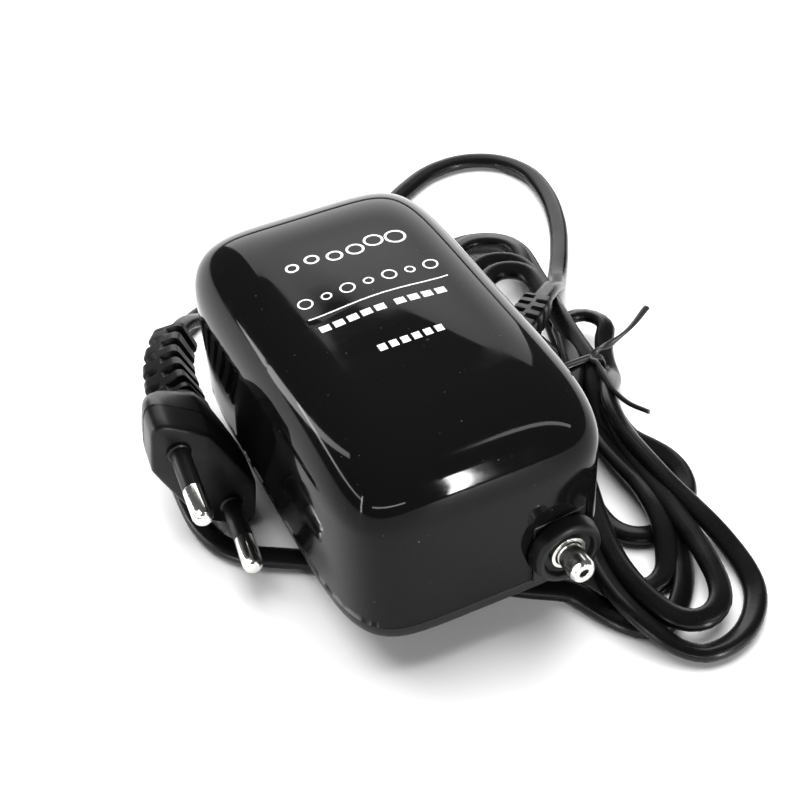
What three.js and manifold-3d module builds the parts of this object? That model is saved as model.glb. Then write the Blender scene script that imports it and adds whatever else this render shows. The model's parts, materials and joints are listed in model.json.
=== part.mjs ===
// Aquarium air pump: a vibrating-arm diaphragm pump in a rounded plastic case, with its mains cord and plug.
// Millimetres, +Z up. The origin is on the floor under the middle of the pump. The air nozzle points along -Y,
// the cord leaves through the +X wall, and the plug lies beside the -X wall.
import * as THREE from 'three';
import { mergeVertices } from 'three/addons/utils/BufferGeometryUtils.js';
import Module from 'manifold-3d';

const wasm = await Module();
wasm.setup();

// ---- Case ----
const HALF_W = 26.25; // half width of the cover in X
const HALF_L = 43.96; // half length of the cover in Y
const CASE_Y = 4.125; // middle of the case in Y
const POWER = 5.76; // exponent of the plan outline: a rectangle with full, round corners
const COVER_Z = 12.6; // lower edge of the cover
const SHOULDER_Z = 34.95; // where the walls start to round over
const FILLET_H = 14.2; // height of that rounding
const FILLET_SIDE = 12.6; // its reach at the long sides
const FILLET_FRONT = 16.4; // its reach at the nozzle end
const FILLET_BACK = 20.4; // its reach at the far end
const CROWN = 0.89; // extra height of the middle of the top
const WALL = 2.0;
const BASE_Z = 8.9; // underside of the base tray
const RIM_Z = 11.8; // top of the tray's visible rim
const RIM_INSET = 0.44; // the rim sits this far inside the cover's wall
const FLOOR_Z = 11.0; // inside floor of the tray
const LIP_Z = 15.0; // top of the lip inside the cover
const GAP = 0.3; // clearance between separate pieces

// ---- Fixings ----
const POST_X = 19.8;
const POST_Y = [-32, 39.5];
const FOOT_X = 14.6;
const FOOT_Y = [-24, 32];
const FOOT_R = 4.8;

// ---- Air outlet ----
const NOZZLE_X = 13.25;
const NOZZLE_Z = 19.15;
const NOZZLE_TIP_Y = -48.08;
const NOZZLE_R = 2.45;
const NOZZLE_HOLE_R = 1.0;
const BUSH_R = 6.9; // its flange, in front of the wall
const BUSH_Y = -43.2; // front of the rubber bush
const NOTCH = { x0: 7.5, x1: 19.4, top: 25.6 }; // cut-out in the cover's front wall

// ---- Pump works ----
const COIL_Z = 25; // height of the magnet axis
const PIVOT = { x: -5.6, y: -31 };
const CHAMBER = { x0: 6.6, x1: 18.5, y0: -27, y1: -5, z0: 14, z1: 36 };
const WEB = { x0: 9.0, x1: 11.6 };
const OUT_PORT_Y = -20.5;
const IN_PORT_Y = -11.5;
const DIAPHRAGM_Y = -16;
const CLAMP_X = 20; // the two screws of the core clamp
const CLAMP_Y = 31;

// ---- Cord and plug ----
const CORD_R = 1.8;
const HANK_Z = [0.25, 8.2];
const PLUG_AT = new THREE.Vector3(-36.45, 8.3, 16.5); // middle of the face that carries the pins
const PIN_DIR = new THREE.Vector3(-0.1, -0.9935, -0.02).normalize();
const PIN_ROW = new THREE.Vector3(0.42, -0.025, -0.912);
const PIN_HALF_SPREAD = 9.5;
const NECK_END = new THREE.Vector3(-27.9, 50.8, 17.0); // where the cord goes into the plug's strain relief
const PLUG_SIZE = 0.98; // the plug body against the largest body of its pattern

// ---- Colours ----
const COLOUR = {
  cover: ['#08080a', 0.12, 0],
  base: ['#3a3a3d', 0.5, 0],
  rubber: ['#17171a', 0.75, 0],
  steel: ['#b9bcc0', 0.3, 1],
  iron: ['#6d7076', 0.45, 1],
  copper: ['#b06a33', 0.35, 1],
  white: ['#e6e4dc', 0.5, 0],
  grey: ['#7c7f84', 0.5, 0],
  amber: ['#c9a66b', 0.5, 0],
  felt: ['#d8d4c8', 0.95, 0],
  cord: ['#0d0d0f', 0.45, 0],
  plug: ['#101012', 0.42, 0],
  nickel: ['#d2d0c8', 0.22, 1],
  tie: ['#141416', 0.6, 0],
};

const group = new THREE.Group();

function material([color, roughness, metalness]) {
  return new THREE.MeshStandardMaterial({ color, roughness, metalness });
}

function put(name, geometry, colour, parent = group) {
  const mesh = new THREE.Mesh(geometry, material(colour));
  mesh.name = name;
  parent.add(mesh);
  return mesh;
}

// ---- Closed solids from rings of points, from the first ring to the last, with a fan over each end ----
function loft(rings, firstTip = null, lastTip = null) {
  const n = rings[0].length;
  const tip = (ring) => ring.reduce((s, p) => s.add(p), new THREE.Vector3()).divideScalar(n);
  const points = rings.flat();
  const first = points.length;
  points.push(firstTip ?? tip(rings[0]));
  points.push(lastTip ?? tip(rings[rings.length - 1]));
  const faces = [];
  for (let r = 0; r < rings.length - 1; r++) {
    for (let i = 0; i < n; i++) {
      const a = r * n + i;
      const b = r * n + ((i + 1) % n);
      faces.push(a, b, b + n, a, b + n, a + n);
    }
  }
  const top = (rings.length - 1) * n;
  for (let i = 0; i < n; i++) {
    const j = (i + 1) % n;
    faces.push(first, j, i, first + 1, top + i, top + j);
  }
  let volume = 0;
  for (let f = 0; f < faces.length; f += 3) {
    const [a, b, c] = [points[faces[f]], points[faces[f + 1]], points[faces[f + 2]]];
    volume += a.dot(b.clone().cross(c));
  }
  if (volume < 0) {
    faces.reverse();
  }
  const geometry = new THREE.BufferGeometry();
  geometry.setAttribute('position', new THREE.Float32BufferAttribute(points.flatMap((p) => [p.x, p.y, p.z]), 3));
  geometry.setIndex(faces);
  return geometry;
}

// ---- Joining and cutting ----
function toManifold(geometry) {
  const bare = geometry.clone();
  bare.deleteAttribute('normal');
  bare.deleteAttribute('uv');
  const merged = mergeVertices(bare, 1e-4);
  const vertProperties = new Float32Array(merged.attributes.position.array);
  const triVerts = new Uint32Array(merged.index.array);
  return new wasm.Manifold(new wasm.Mesh({ numProp: 3, vertProperties, triVerts }));
}

function fromManifold(solid) {
  const mesh = solid.getMesh();
  const geometry = new THREE.BufferGeometry();
  geometry.setAttribute('position', new THREE.BufferAttribute(new Float32Array(mesh.vertProperties), 3));
  geometry.setIndex(new THREE.BufferAttribute(new Uint32Array(mesh.triVerts), 1));
  return geometry;
}

function carve(body, { join = [], cut = [] }) {
  let solid = toManifold(body);
  for (const piece of join) {
    solid = solid.add(toManifold(piece));
  }
  for (const piece of cut) {
    solid = solid.subtract(toManifold(piece));
  }
  return fromManifold(solid);
}

function common(a, b) {
  return fromManifold(toManifold(a).intersect(toManifold(b)));
}

// ---- Simple solids placed in the object's frame ----
function block(x0, x1, y0, y1, z0, z1) {
  const geometry = new THREE.BoxGeometry(x1 - x0, y1 - y0, z1 - z0);
  geometry.translate((x0 + x1) / 2, (y0 + y1) / 2, (z0 + z1) / 2);
  return geometry;
}

// A turned solid: profile holds [radius, position along the axis]; the axis is 'x', 'y' or 'z'.
function turned(axis, profile, x, y, z, sides = 20) {
  const geometry = new THREE.LatheGeometry(profile.map(([r, h]) => new THREE.Vector2(r, h)), sides);
  if (axis === 'z') {
    geometry.rotateX(Math.PI / 2);
  }
  if (axis === 'x') {
    geometry.rotateZ(-Math.PI / 2);
  }
  geometry.translate(x, y, z);
  return geometry;
}

function rod(axis, r, from, to, x, y, z, sides = 20) {
  return turned(axis, [[0, from], [r, from], [r, to], [0, to]], x, y, z, sides);
}

function tubeOf(axis, inner, outer, from, to, x, y, z, sides = 20) {
  const profile = [[inner, from], [outer, from], [outer, to], [inner, to], [inner, from]];
  return turned(axis, profile, x, y, z, sides);
}

function slab(points, z0, z1) {
  const shape = new THREE.Shape(points.map(([x, y]) => new THREE.Vector2(x, y)));
  const geometry = new THREE.ExtrudeGeometry(shape, { depth: z1 - z0, bevelEnabled: false });
  geometry.translate(0, 0, z0);
  return geometry;
}

function wire(points, r, steps, sides = 8) {
  const curve = new THREE.CatmullRomCurve3(points.map((p) => new THREE.Vector3(...p)), false, 'centripetal');
  const section = new THREE.Shape();
  for (let i = 0; i < sides; i++) {
    const a = (2 * Math.PI * i) / sides;
    section[i ? 'lineTo' : 'moveTo'](r * Math.cos(a), r * Math.sin(a));
  }
  return new THREE.ExtrudeGeometry(section, { steps, extrudePath: curve, bevelEnabled: false });
}

// ---- Case outline ----
function outline(z, side, front = side, back = side, count = 44) {
  const ring = [];
  for (let i = 0; i < count; i++) {
    const t = (2 * Math.PI * i) / count;
    const ease = (v) => Math.sign(v) * Math.abs(v) ** (2 / POWER);
    const reach = HALF_L - (Math.sin(t) > 0 ? back : front);
    ring.push(new THREE.Vector3((HALF_W - side) * ease(Math.cos(t)), CASE_Y + reach * ease(Math.sin(t)), z));
  }
  return ring;
}

// The dome of the cover's outside (inset 0) or of its hollow (inset = wall thickness).
function dome(bottom, inset, angles, count) {
  const rings = [outline(bottom, inset, inset, inset, count)];
  for (const degrees of angles) {
    const a = THREE.MathUtils.degToRad(degrees);
    const k = 1 - Math.cos(a);
    const z = SHOULDER_Z + (FILLET_H - inset) * Math.sin(a);
    rings.push(outline(z, inset + FILLET_SIDE * k, inset + FILLET_FRONT * k, inset + FILLET_BACK * k, count));
  }
  const top = SHOULDER_Z + FILLET_H - inset;
  const half = [HALF_W - (HALF_W - inset - FILLET_SIDE) / 2, HALF_L - (HALF_L - inset - FILLET_FRONT) / 2,
    HALF_L - (HALF_L - inset - FILLET_BACK) / 2];
  rings.push(outline(top + CROWN * 0.75, ...half, count));
  return loft(rings, null, new THREE.Vector3(0, CASE_Y, top + CROWN));
}

const screwPlaces = [];
for (const y of POST_Y) {
  for (const x of [-POST_X, POST_X]) {
    screwPlaces.push([x, y]);
  }
}

// ---- Cover: a shell with four screw posts, a cut-out for the air outlet and one for the cord ----
const shellOutside = dome(9.6, 0, [0, 15, 30, 45, 60, 75, 90], 44);
const shellHollow = dome(9.0, WALL, [0, 30, 60, 90], 32);
const shell = carve(shellOutside, { cut: [shellHollow] });
const posts = screwPlaces.map(([x, y]) => common(rod('z', 2.8, 12.5, 42, x, y, 0, 16), shellOutside));
const cover = carve(shell, {
  join: posts,
  cut: [
    block(-40, 40, -60, 60, 0, COVER_Z),
    ...screwPlaces.map(([x, y]) => rod('z', 1.7, 12, 24.5, x, y, 0, 12)),
    block(NOTCH.x0, NOTCH.x1, -44, -35, 8, NOTCH.top),
    block(22, 28, 11.7, 20.3, 8, 19.8),
  ],
});
put('top_cover', cover, COLOUR.cover);

// ---- Base tray: plate, rim, inner lip, screw bosses, supports, outlet upstand and filter housing ----
const tray = loft([
  outline(BASE_Z, 1.6),
  outline(BASE_Z + 0.9, RIM_INSET),
  outline(RIM_Z, RIM_INSET),
  outline(RIM_Z, WALL + 0.35),
  outline(LIP_Z, WALL + 0.35),
  outline(LIP_Z, WALL + 1.5),
  outline(FLOOR_Z, WALL + 1.5),
]);
const upstand = common(shell, block(NOTCH.x0 + GAP, NOTCH.x1 - GAP, -44, -35, 11.2, NOTCH.top - GAP));
const base = carve(tray, {
  join: [
    ...screwPlaces.map(([x, y]) => rod('z', 4.2, 9.2, 12.2, x, y, 0, 16)),
    block(NOTCH.x0 + GAP, NOTCH.x1 - GAP, -39.2, -37.2, 10, 11.9),
    upstand,
    rod('z', 3.2, 10, 19.5, PIVOT.x, PIVOT.y, 0, 16),
    block(8, 17, -20.4, -7, 10, CHAMBER.z0 - GAP),
    block(-15.5, -11.5, 14, 27.6, 10, 19 - GAP),
    block(11.5, 15.5, 14, 27.6, 10, 19 - GAP),
    rod('z', 2.6, 10, 18.7, -CLAMP_X, CLAMP_Y, 0, 16),
    rod('z', 2.6, 10, 18.7, CLAMP_X, CLAMP_Y, 0, 16),
    block(-22, -9.6, -19.5, -6, 10, 16),
  ],
  cut: [
    ...screwPlaces.map(([x, y]) => rod('z', 3.4, 8, 10.5, x, y, 0, 16)),
    ...screwPlaces.map(([x, y]) => rod('z', 1.75, 8, 13, x, y, 0, 12)),
    ...screwPlaces.map(([x, y]) => rod('z', 4.5, 12.2, 16, x, y, 0, 16)),
    ...FOOT_Y.flatMap((y) => [-FOOT_X, FOOT_X].map((x) => rod('z', 1.9, 8, 13, x, y, 0, 12))),
    rod('y', 4.75, -45, -34, NOZZLE_X, 0, NOZZLE_Z, 24),
    rod('y', 5.6, -37.4, -34, NOZZLE_X, 0, NOZZLE_Z, 24),
    rod('y', 5.6, -45, -39.75, NOZZLE_X, 0, NOZZLE_Z, 24),
    rod('z', 1.5, 12, 21, PIVOT.x, PIVOT.y, 0, 12),
    rod('z', 1.5, 12, 21, -CLAMP_X, CLAMP_Y, 0, 12),
    rod('z', 1.5, 12, 21, CLAMP_X, CLAMP_Y, 0, 12),
    block(21.3, 28, 9.6, 22.4, 11.85, 16),
    block(-20.5, -11.1, -18, -7.5, 8, 14.5),
    rod('z', 2.2, 14, 17, -15.8, -12.75, 0, 12),
  ],
});
put('base_tray', base, COLOUR.base);

// ---- Feet: soft rubber pads with a mushroom stem through the tray ----
const footProfile = [[0, 0], [FOOT_R - 0.8, 0], [FOOT_R, 0.9], [FOOT_R, 7.4], [FOOT_R - 0.7, BASE_Z - GAP],
  [1.55, BASE_Z - GAP], [1.55, FLOOR_Z + GAP], [2.6, FLOOR_Z + GAP], [1.6, FLOOR_Z + 1.6], [0, FLOOR_Z + 1.6]];
for (const [name, x, y] of [['foot_front_left', -1, 0], ['foot_front_right', 1, 0], ['foot_rear_left', -1, 1],
  ['foot_rear_right', 1, 1]]) {
  put(name, turned('z', footProfile, x * FOOT_X, FOOT_Y[y], 0, 20), COLOUR.rubber);
}

// ---- Cover screws, driven up from below into the posts ----
const coverScrewProfile = [[0, 9.1], [2.9, 9.1], [3.05, 9.5], [3.05, 10.2], [1.35, 10.2], [1.35, 21.6], [0, 23.2]];
screwPlaces.forEach(([x, y], i) => {
  put(`cover_screw_${i + 1}`, turned('z', coverScrewProfile, x, y, 0, 12), COLOUR.steel);
});

// ---- Electromagnet: laminated E-core, bobbin, winding, fuse ----
const ePlan = [[-16, 12], [-11, 12], [-11, 28], [-4, 28], [-4, 12], [4, 12], [4, 28], [11, 28], [11, 12], [16, 12],
  [16, 34], [-16, 34]];
put('laminated_core', slab(ePlan, COIL_Z - 6, COIL_Z + 6), COLOUR.iron);

function frameAlongY(halfOuterX, halfOuterZ, halfInnerX, halfInnerZ, y0, y1, corner) {
  const shape = new THREE.Shape();
  const rounded = (path, a, b, r) => {
    path.moveTo(-a + r, -b);
    path.lineTo(a - r, -b);
    path.quadraticCurveTo(a, -b, a, -b + r);
    path.lineTo(a, b - r);
    path.quadraticCurveTo(a, b, a - r, b);
    path.lineTo(-a + r, b);
    path.quadraticCurveTo(-a, b, -a, b - r);
    path.lineTo(-a, -b + r);
    path.quadraticCurveTo(-a, -b, -a + r, -b);
  };
  rounded(shape, halfOuterX, halfOuterZ, corner);
  const hole = new THREE.Path();
  rounded(hole, halfInnerX, halfInnerZ, 0.4);
  shape.holes.push(hole);
  const geometry = new THREE.ExtrudeGeometry(shape, { depth: y1 - y0, bevelEnabled: false, curveSegments: 3 });
  geometry.rotateX(Math.PI / 2);
  geometry.translate(0, y1, COIL_Z);
  return geometry;
}

const bobbin = carve(frameAlongY(5.3, 7.3, 4.3, 6.3, 12.6, 27.6, 0.8), {
  join: [frameAlongY(10.6, 12.4, 4.3, 6.3, 12.6, 13.7, 2), frameAlongY(10.6, 12.4, 4.3, 6.3, 26.5, 27.6, 2)],
});
put('coil_bobbin', bobbin, COLOUR.white);
put('coil_winding', frameAlongY(10.2, 11.8, 5.6, 7.6, 14.0, 26.2, 3), COLOUR.copper);
put('thermal_fuse', rod('x', 1.6, -3.2, 6.2, 0, 17, 38.9, 12), COLOUR.white);

// ---- Core clamp: a bent strap over the back of the core, with an ear and a screw on each side ----
const strap = [[-23, 19], [-16.3, 19], [-16.3, 31.3], [16.3, 31.3], [16.3, 19], [23, 19], [23, 20], [17.3, 20],
  [17.3, 32.3], [-17.3, 32.3], [-17.3, 20], [-23, 20]];
const strapSolid = slab(strap, 0, 4.6);
strapSolid.rotateX(Math.PI / 2);
strapSolid.translate(0, CLAMP_Y + 2.3, 0);
const clampHoles = [-CLAMP_X, CLAMP_X].map((x) => rod('z', 1.45, 18, 21, x, CLAMP_Y, 0, 12));
put('core_clamp', carve(strapSolid, { cut: clampHoles }), COLOUR.steel);
const clampScrewProfile = [[0, 12.6], [1.15, 13.6], [1.15, 20.3], [2.4, 20.3], [2.4, 21.2], [1.9, 21.9], [0, 21.9]];
put('core_screw_left', turned('z', clampScrewProfile, -CLAMP_X, CLAMP_Y, 0, 12), COLOUR.steel);
put('core_screw_right', turned('z', clampScrewProfile, CLAMP_X, CLAMP_Y, 0, 12), COLOUR.steel);

// ---- Swing arm: an eye on the pivot, a flat bar and a carrier for the magnet ----
const arm = carve(tubeOf('z', 3.5, 5.2, COIL_Z - 4, COIL_Z + 4, PIVOT.x, PIVOT.y, 0, 24), {
  join: [
    block(-6.8, -4.4, -27, 5, COIL_Z - 4, COIL_Z + 4),
    block(-6.8, 6.8, 4.2, 5.7, COIL_Z - 6, COIL_Z + 6),
  ],
  cut: [rod('x', 1.15, -8, -3, 0, DIAPHRAGM_Y, COIL_Z, 12)],
});
put('swing_arm', arm, COLOUR.grey);
put('arm_magnet', block(-6, 6, 6.0, 10.4, COIL_Z - 5, COIL_Z + 5), COLOUR.iron);
put('arm_pivot_pin', turned('z', [[0, 12.4], [1.2, 12.4], [1.2, 32.4], [0.8, 33], [0, 33]], PIVOT.x, PIVOT.y, 0, 12),
  COLOUR.steel);
put('pivot_rubber', tubeOf('z', 1.5, 3.2, 19.8, 31, PIVOT.x, PIVOT.y, 0, 20), COLOUR.rubber);

// ---- Diaphragm: a rubber disc with a clamped bead and one rolling fold; the hub floats on the arm's screw ----
const diaphragmProfile = [[1.2, -2.4], [4.8, -2.4], [5.6, 1.2], [6.6, 2.2], [7.6, 1.4], [8.6, 3.4], [10.6, 3.4],
  [10.6, 6.3], [8.9, 6.3], [7.5, 2.7], [6.5, 3.4], [4.7, 1.9], [4.0, -1.2], [1.2, -1.2], [1.2, -2.4]];
put('diaphragm', turned('x', diaphragmProfile, 0, DIAPHRAGM_Y, COIL_Z, 24), COLOUR.rubber);
put('diaphragm_washer', tubeOf('x', 1.15, 4.2, -4.1, -3.1, 0, DIAPHRAGM_Y, COIL_Z, 20), COLOUR.steel);
const hubScrew = [[0, -9.2], [1.6, -9.2], [2.1, -8.6], [2.1, -7.1], [0.85, -7.1], [0.85, 0.4], [0, 0.4]];
put('diaphragm_screw', turned('x', hubScrew, 0, DIAPHRAGM_Y, COIL_Z, 12), COLOUR.steel);

// ---- Valve chamber with two ports, its flaps and its lid ----
const { x0: cx0, x1: cx1, y0: cy0, y1: cy1, z0: cz0, z1: cz1 } = CHAMBER;
const lidScrews = [[cy0 + 1.6, cz1 - 1.6], [cy1 - 1.6, cz0 + 1.6]];
const chamber = carve(block(cx0, cx1, cy0, cy1, cz0, cz1), {
  cut: [
    rod('x', 8.8, cx0 - 1, WEB.x0, 0, DIAPHRAGM_Y, COIL_Z, 28),
    block(WEB.x1, cx1 + 1, -24, -17, 17, 33),
    block(WEB.x1, cx1 + 1, -15, -8, 17, 33),
    rod('x', 1.5, 8, 12, 0, OUT_PORT_Y, COIL_Z, 12),
    rod('x', 1.5, 8, 12, 0, IN_PORT_Y, COIL_Z, 12),
    rod('y', NOZZLE_HOLE_R, cy0 - 1, -23.5, NOZZLE_X, 0, NOZZLE_Z, 12),
    ...lidScrews.map(([y, z]) => rod('x', 1.05, 12, cx1 + 1, 0, y, z, 10)),
  ],
});
put('valve_chamber', chamber, COLOUR.white);
put('valve_cover', carve(block(cx1 + GAP, cx1 + GAP + 1.5, cy0, cy1, cz0, cz1), {
  cut: [
    rod('x', 2.0, cx1 - 1, cx1 + 4, 0, IN_PORT_Y, 29, 14),
    ...lidScrews.map(([y, z]) => rod('x', 1.05, cx1 - 1, cx1 + 4, 0, y, z, 10)),
  ],
}), COLOUR.white);
const lidScrewProfile = [[0, 13.2], [0.75, 13.6], [0.75, cx1 + 2.1], [1.5, cx1 + 2.1], [1.2, cx1 + 3], [0, cx1 + 3]];
lidScrews.forEach(([y, z], i) => {
  put(`valve_screw_${i + 1}`, turned('x', lidScrewProfile, 0, y, z, 10), COLOUR.steel);
});
put('inlet_flap', block(WEB.x0 - 0.7, WEB.x0 - GAP, -14.1, -9.2, COIL_Z - 2.6, COIL_Z + 2.6), COLOUR.amber);
put('outlet_flap', block(WEB.x1 + GAP, WEB.x1 + 0.7, -23.1, -18.2, COIL_Z - 2.6, COIL_Z + 2.6), COLOUR.amber);

// ---- Air outlet: nozzle, bright washer and rubber bush ----
const nozzleProfile = [[NOZZLE_HOLE_R, -27.3], [NOZZLE_HOLE_R, NOZZLE_TIP_Y], [NOZZLE_R - 0.35, NOZZLE_TIP_Y],
  [NOZZLE_R, NOZZLE_TIP_Y + 0.6], [NOZZLE_R, -33.6], [3.6, -33.6], [3.6, -32.4], [NOZZLE_R, -32.4],
  [NOZZLE_R, -27.3], [NOZZLE_HOLE_R, -27.3]];
put('outlet_nozzle', turned('y', nozzleProfile, NOZZLE_X, 0, NOZZLE_Z, 20), COLOUR.nickel);
put('nozzle_washer', tubeOf('y', NOZZLE_R + GAP, 3.4, -42.65, -42.25, NOZZLE_X, 0, NOZZLE_Z, 24), COLOUR.nickel);
const bore = NOZZLE_R + GAP;
const bushProfile = [[bore, -41.9], [4.7, -41.9], [5.0, BUSH_Y], [BUSH_R - 1.1, BUSH_Y], [BUSH_R - 0.5, BUSH_Y + 0.5],
  [BUSH_R, -40.2], [4.4, -40.2], [4.4, -37.0], [5.2, -37.0], [4.6, -35.6], [bore, -35.6], [bore, -41.9]];
put('outlet_bush', turned('y', bushProfile, NOZZLE_X, 0, NOZZLE_Z, 28), COLOUR.rubber);

// ---- Air filter in the underside ----
put('filter_felt', block(-20.2, -11.4, -17.7, -7.8, 11.2, 14.2), COLOUR.felt);
const slots = [-18.4, -16.6, -14.8, -13.0].map((x) => block(x - 0.35, x + 0.35, -16, -9.5, 8, 12));
put('filter_cap', carve(block(-20.2, -11.4, -17.7, -7.8, 9.2, 10.9), { cut: slots }), COLOUR.base);

// ---- Cord strain relief: a flange inside the wall, a neck through it and a ribbed, tapering boot that bends ----
function bootRing(centre, along, halfWide, halfTall, up = new THREE.Vector3(0, 0, 1)) {
  const side = along.clone().cross(up).normalize();
  const rise = side.clone().cross(along).normalize();
  const corner = 0.3;
  return [[-1, -1 + corner], [-1 + corner, -1], [1 - corner, -1], [1, -1 + corner], [1, 1 - corner], [1 - corner, 1],
    [-1 + corner, 1], [-1, 1 - corner]].map(([s, u]) => centre.clone()
    .addScaledVector(side, s * halfWide).addScaledVector(rise, u * halfTall));
}
const bootPath = new THREE.CatmullRomCurve3([[26.6, 16, 16.1], [31, 16.3, 16.3], [36, 18.3, 16.2], [41.5, 22.4, 15.4],
  [46.6, 27.2, 14.0]].map((p) => new THREE.Vector3(...p)), false, 'centripetal');
const bootRings = [];
const east = new THREE.Vector3(1, 0, 0);
for (const [x, wide, tall] of [[21.7, 5.6, 4.1], [23.9, 5.6, 4.1], [23.9, 4.0, 3.4], [26.4, 4.0, 3.4]]) {
  bootRings.push(bootRing(new THREE.Vector3(x, 16, 16.1), east, wide, tall));
}
const RIBS = 7;
for (let i = 0; i < RIBS; i++) {
  for (const [part, slim] of [[0.02, 1], [0.62, 1], [0.66, 0.72], [0.96, 0.72]]) {
    const t = Math.min(1, (i + part) / (RIBS - 0.36));
    if (i < RIBS - 1 || slim === 1) {
      const along = bootPath.getTangentAt(t);
      bootRings.push(bootRing(bootPath.getPointAt(t), along, (4.2 - 1.0 * t) * slim, (3.4 - 0.7 * t) * slim));
    }
  }
}
put('cord_strain_relief', loft(bootRings), COLOUR.rubber);

// ---- Wires inside, from the cord to the fuse and the winding ----
put('lead_live', wire([[21.3, 14.6, 16.4], [20.4, 14.4, 17.5], [20.3, 14.4, 24], [19.4, 15, 32], [16.9, 16.6, 37.9],
  [14.4, 17, 38.9]], 0.6, 16, 6), ['#7a4a2a', 0.5, 0]);
put('lead_neutral', wire([[21.3, 17.6, 16.4], [20.4, 17.8, 17.5], [20.3, 18.4, 24], [19.4, 20.6, 32],
  [16.9, 22.6, 37.9], [14.4, 23, 38.9]], 0.6, 16, 6), ['#2e5f9e', 0.5, 0]);
put('splice_live', rod('x', 1.2, 6.6, 14.0, 0, 17, 38.9, 10), COLOUR.steel);
put('splice_neutral', rod('x', 1.2, 6.6, 14.0, 0, 23, 38.9, 10), COLOUR.steel);

// ---- Mains cord: from the boot round a wide loop and behind the pump to the hank ----
put('mains_cord_loop', wire([[47.0, 27.6, 13.9], [50.6, 31.0, 12.6], [54.6, 35.2, 10.4], [58.8, 40.2, 6.0],
  [63.0, 46.8, 2.4], [68.6, 55.4, 2.0], [74.6, 66.6, 2.0], [78.8, 79.4, 2.0], [79.4, 90.2, 2.0], [75.4, 98.8, 2.0],
  [67.6, 103.4, 2.0], [58.0, 103.2, 2.0], [49.2, 99.2, 2.0], [40.4, 93.2, 2.0], [32.0, 86.4, 2.0],
  [26.4, 79.2, 2.0], [25.6, 72.4, 2.1], [29.2, 67.6, 2.6], [34.6, 66.0, 3.4], [40.0, 66.6, 4.2]], CORD_R, 26),
COLOUR.cord);

// ---- Hank: five turns lying flat, tied near the middle; its outer shape in two halves ----
const frontHalf = [[42.8, 10.4], [41.4, 3], [38.6, -7], [35, -15], [30.6, -21], [25.6, -27.4], [21.2, -32.6],
  [19.3, -36.4], [16.3, -40.4], [17, -48], [20.6, -56], [26, -62.4], [31.4, -64.8], [38, -64.4], [44.6, -61.4],
  [49.8, -55.8], [52.4, -47.6], [52.6, -38], [52.8, -28], [55.4, -19], [53.6, -9], [53.2, -1], [56, 3.4],
  [58.4, 10.4]];
const rearHalf = [[42.8, 12.8], [59.6, 12.8], [62.8, 19], [63.6, 25.8], [61.2, 31.2], [56.2, 32.4], [53.6, 35.2],
  [54.6, 40.4], [58.4, 46.6], [62.4, 53], [62, 60.4], [57.6, 67.4], [51.4, 71.6], [45.2, 72], [41.2, 69.6],
  [40.6, 63.4], [42.2, 54], [44.6, 44], [45.2, 34], [43.8, 22]];
put('cord_hank_front', slab(frontHalf, ...HANK_Z), COLOUR.cord);
put('cord_hank_rear', slab(rearHalf, ...HANK_Z), COLOUR.cord);

// ---- Twist tie between the two halves, with two loose ends ----
const tieBand = block(42.2, 53.4, 10.9, 12.2, HANK_Z[0], HANK_Z[1] + 0.9);
const tieTails = [[[50.4, 11.5, 8.6], [52.6, 12.1, 9.6], [56.2, 12.6, 9.8], [61.6, 13.6, 11.4], [67.2, 15.8, 13.7]],
  [[50.4, 11.5, 8.6], [50.4, 9.6, 9.6], [50.0, 5.6, 9.7], [48.9, 0.0, 9.5], [49.6, -5.2, 9.5], [51.8, -9.8, 9.7]]];
put('twist_tie', carve(tieBand, { join: tieTails.map((points) => wire(points, 0.6, 10, 6)) }), COLOUR.tie);

// ---- Mains cord: from the hank under the pump, past the plug's pins and round behind the pump to the plug ----
put('mains_cord_tail', wire([[17.4, -38.2, 2.0], [10.4, -33.0, 2.0], [0, -25.2, 2.0], [-11, -16.6, 2.0],
  [-20.4, -9.4, 2.0], [-27.4, -4.6, 2.0], [-33.0, -0.8, 2.0], [-36.8, 4.2, 2.0], [-38.5, 11.0, 2.0],
  [-38.6, 18.0, 2.0], [-38.0, 27.0, 2.0], [-36.6, 37.0, 2.0], [-34.6, 46.6, 2.0], [-31.6, 55.6, 2.0],
  [-27.8, 63.3, 2.0], [-23.4, 69.8, 2.0], [-17.6, 74.4, 2.0], [-9.6, 77.4, 2.0], [-1.4, 77.8, 2.0],
  [5.0, 74.0, 2.0], [6.0, 67.6, 2.2], [1.0, 62.8, 3.0], [-6.4, 61.0, 5.4], [-13.4, 60.6, 9.4],
  [-19.6, 58.6, 13.6], [-23.6, 56.0, 16.2], [-26.0, 53.7, 16.9], [-27.5, 51.45, 17.0]], CORD_R, 40), COLOUR.cord);

// ---- Plug: a flat two-pin Europlug built about the middle of its pin face; local +Y is the way the pins point ----
const plug = new THREE.Group();
const row = PIN_ROW.clone().addScaledVector(PIN_DIR, -PIN_ROW.dot(PIN_DIR)).normalize();
const across = row.clone().cross(PIN_DIR);
plug.quaternion.setFromRotationMatrix(new THREE.Matrix4().makeBasis(row, PIN_DIR, across));
plug.position.copy(PLUG_AT);
group.add(plug);

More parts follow.
